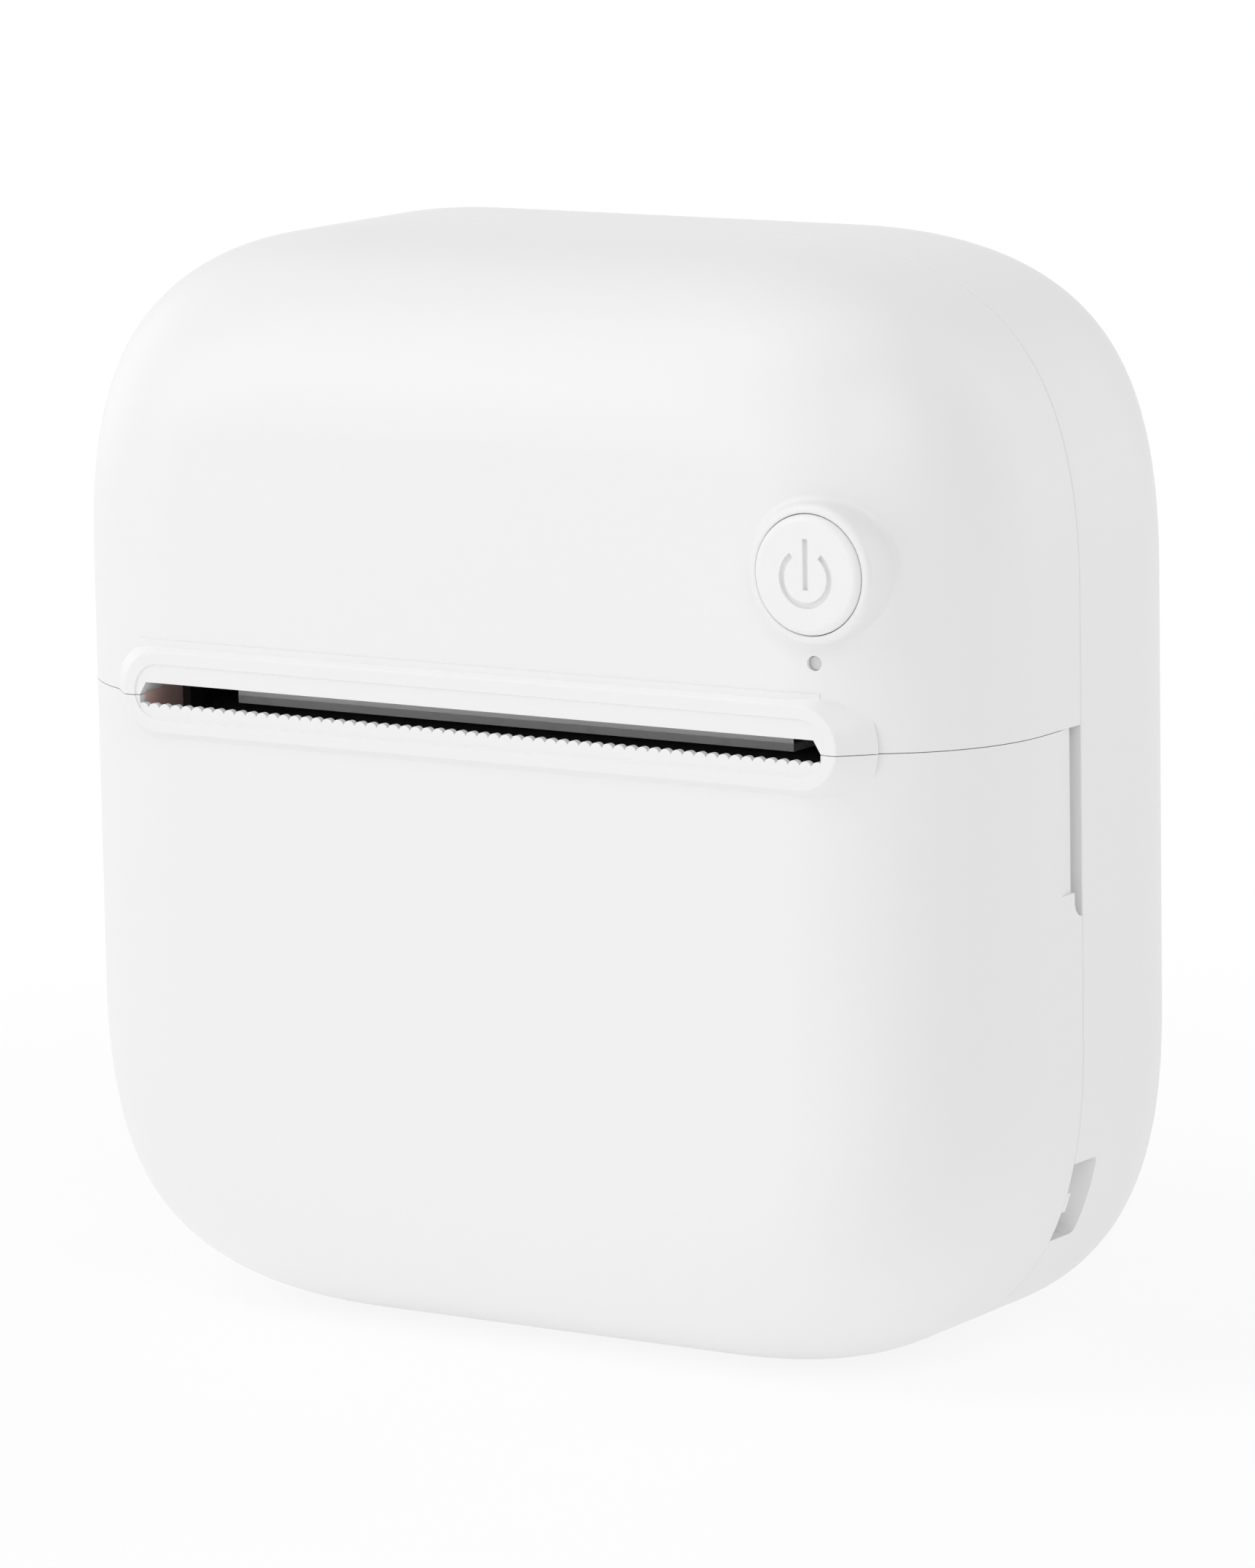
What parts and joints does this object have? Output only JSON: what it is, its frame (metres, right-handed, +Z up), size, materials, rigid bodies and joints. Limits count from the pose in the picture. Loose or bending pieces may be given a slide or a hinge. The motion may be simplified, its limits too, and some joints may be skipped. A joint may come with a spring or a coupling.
{
  "type": "pocket thermal printer",
  "caption": "White pillow-shaped pocket thermal printer with a hinged front cover that carries the platen roller, a toothed paper slot and a round power button.",
  "frame": {"origin": "middle of the flat base that the printer stands on", "axes": "+Z up, front face with the paper slot towards -Y, +X to the right seen from the front"},
  "size_m": [0.082, 0.0425, 0.084],
  "materials": {
    "white_shell": "fine moulded matte",
    "white_inner": "moulded matte, inside the case",
    "button_white": "smooth moulded satin",
    "frame_black": "glass-filled moulded matte",
    "roller_rubber": "ground silicone rubber",
    "shaft_steel": "turned steel",
    "screw_steel": "zinc-plated",
    "spring_steel": "drawn wire",
    "motor_steel": "plated sheet steel",
    "gear_plastic": "natural acetal",
    "bushing_plastic": "oil-filled acetal",
    "pinion_brass": "cut brass",
    "head_aluminium": "milled aluminium",
    "head_ceramic": "glazed ceramic",
    "board_green": "solder-masked laminate",
    "connector_white": "moulded nylon",
    "chip_black": "moulded epoxy",
    "shield_metal": "tin-plated sheet",
    "socket_steel": "stainless steel",
    "ribbon_film": "polyimide film",
    "lead_red": "wire insulation",
    "lead_black": "wire insulation",
    "lead_grey": "wire insulation",
    "battery_foil": "laminated pouch foil",
    "light_clear": "clear acrylic",
    "led_body": "clear epoxy"
  },
  "bodies": {
    "base": {"front_case": "white_shell", "rear_case": "white_shell", "hinge_pins": "shaft_steel", "edge_guide": "bushing_plastic", "idler_axle": "shaft_steel", "stepper_motor": "motor_steel", "mechanism_frame": "frame_black", "head_pivot_pin": "shaft_steel", "head_springs": "spring_steel", "paper_cradle": "white_inner", "tact_switch": "shield_metal", "light_pipe": "light_clear", "main_board": "board_green", "usb_socket": "socket_steel", "usb_tongue": "chip_black", "board_screws": "screw_steel", "frame_screws": "screw_steel", "case_screws": "screw_steel", "battery": "battery_foil", "battery_connector": "connector_white", "battery_lead_red": "lead_red", "battery_lead_black": "lead_black", "motor_connector": "connector_white", "motor_leads": "lead_grey", "head_connector": "connector_white", "head_ribbon": "ribbon_film", "paper_sensor": "chip_black", "status_led": "led_body", "wireless_module": "shield_metal", "controller_chip": "chip_black"},
    "cover": {"front_cover": "white_shell", "roller_bushings": "bushing_plastic"},
    "platen": {"platen_roller": "roller_rubber", "platen_shaft": "shaft_steel", "platen_gear": "gear_plastic"},
    "idler": {"idler_gear": "gear_plastic"},
    "motor_rotor": {"motor_pinion": "pinion_brass", "motor_shaft": "shaft_steel"},
    "print_head": {"head_plate": "head_aluminium", "heating_line": "head_ceramic"},
    "button": {"power_button": "button_white", "switch_plunger": "chip_black"}
  },
  "joints": [
    {"name": "cover_hinge", "type": "hinge", "parent": "base", "child": "cover", "pos_m": [0, 0.0037, 0.0016], "axis": [1, 0, 0], "range_deg": [0, 95]},
    {"name": "platen_spin", "type": "hinge", "parent": "cover", "child": "platen", "pos_m": [0, -0.0115, 0.0438], "axis": [1, 0, 0], "continuous": true},
    {"name": "idler_spin", "type": "hinge", "parent": "base", "child": "idler", "pos_m": [0.0323, -0.00458, 0.04612], "axis": [1, 0, 0], "continuous": true},
    {"name": "motor_spin", "type": "hinge", "parent": "base", "child": "motor_rotor", "pos_m": [0.0323, 0.00143, 0.05417], "axis": [1, 0, 0], "continuous": true},
    {"name": "head_tilt", "type": "hinge", "parent": "base", "child": "print_head", "pos_m": [0, -0.0064, 0.05], "axis": [-1, 0, 0], "range_deg": [0, 4], "stiffness_Nm_per_rad": 0.5, "springref_deg": -8.59, "deforming": ["head_springs"]},
    {"name": "button_press", "type": "slide", "parent": "base", "child": "button", "axis": [0, 1, 0], "range_m": [0, 0.0005], "stiffness_N_per_m": 400, "springref_m": -0.001}
  ],
  "couplings": [
    {"joint": "idler_spin", "follows": "platen_spin", "ratio": -1.0714},
    {"joint": "motor_spin", "follows": "platen_spin", "ratio": 3.2143}
  ]
}
